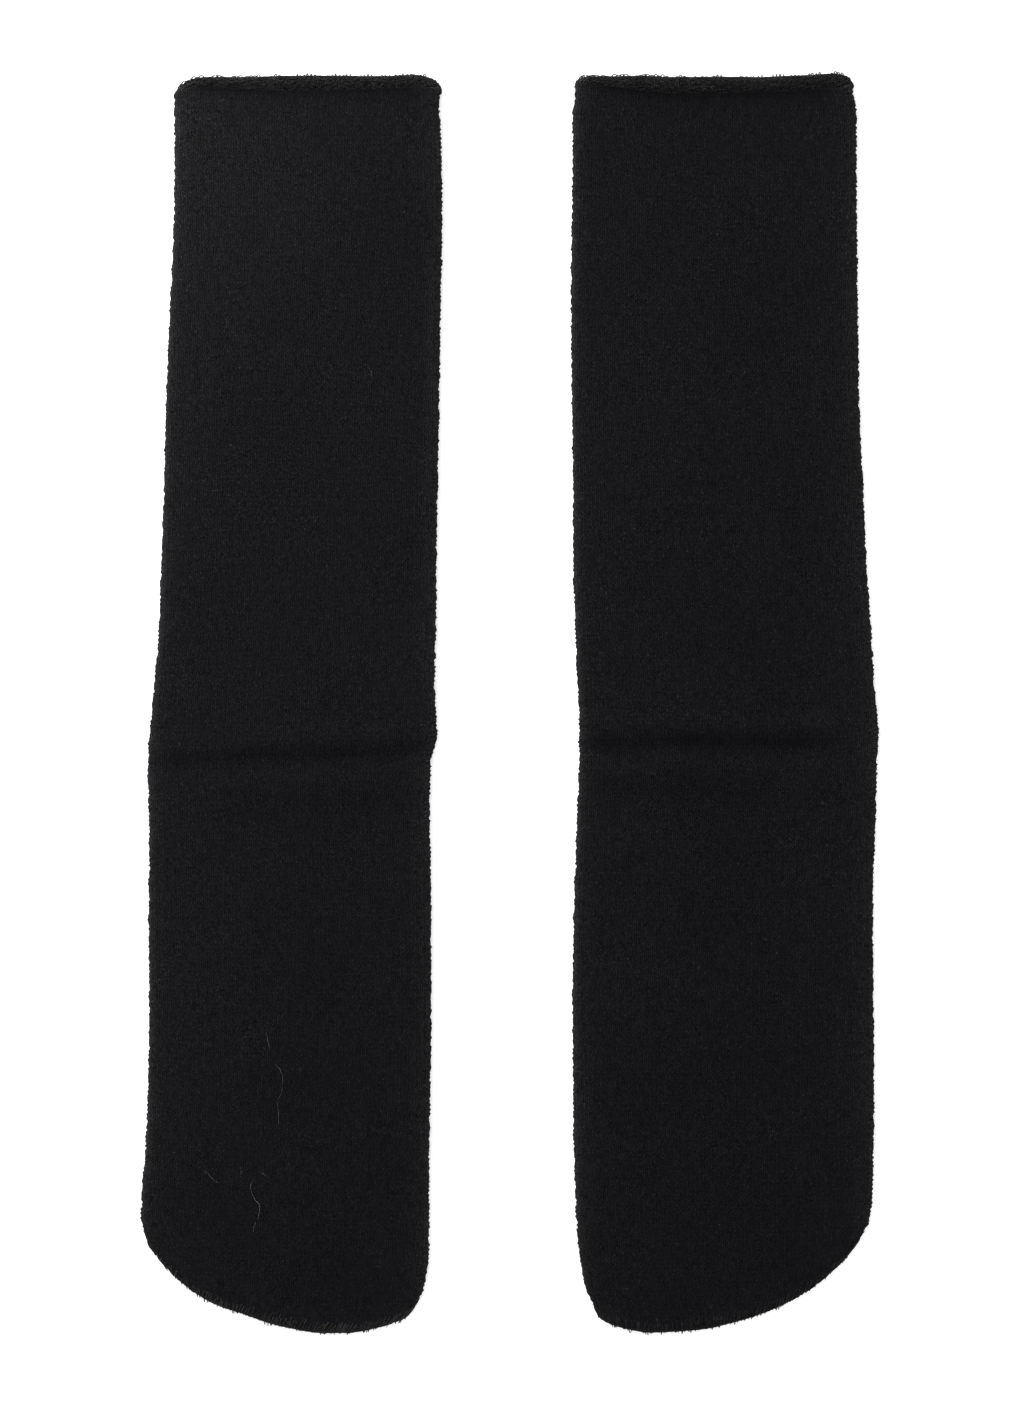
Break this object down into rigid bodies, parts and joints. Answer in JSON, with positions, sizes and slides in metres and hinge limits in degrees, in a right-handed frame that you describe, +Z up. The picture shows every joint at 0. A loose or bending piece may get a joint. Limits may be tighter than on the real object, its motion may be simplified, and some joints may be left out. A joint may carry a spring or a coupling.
{
  "type": "pair of tube socks",
  "caption": "Pair of plain knitted tube socks lying flat, open at the mouth, each closed by a slanted, rounded toe seam for the left or right foot.",
  "frame": {"origin": "centre of the underside of the pair's bounding box, on the surface that the socks lie on", "axes": "+Y along the socks from the toes towards the mouths, +X across the pair from the sock for the right foot to the sock for the left foot, +Z up from the surface"},
  "size_m": [0.2286, 0.3904, 0.0047],
  "materials": {
    "black_knit": "fine black knit, plain stitch outside and purl stitch inside, soft and slightly fuzzy, matt with a faint sheen along the folds"
  },
  "bodies": {
    "root": {"sock_right_foot": "black_knit", "sock_left_foot": "black_knit"}
  },
  "joints": []
}
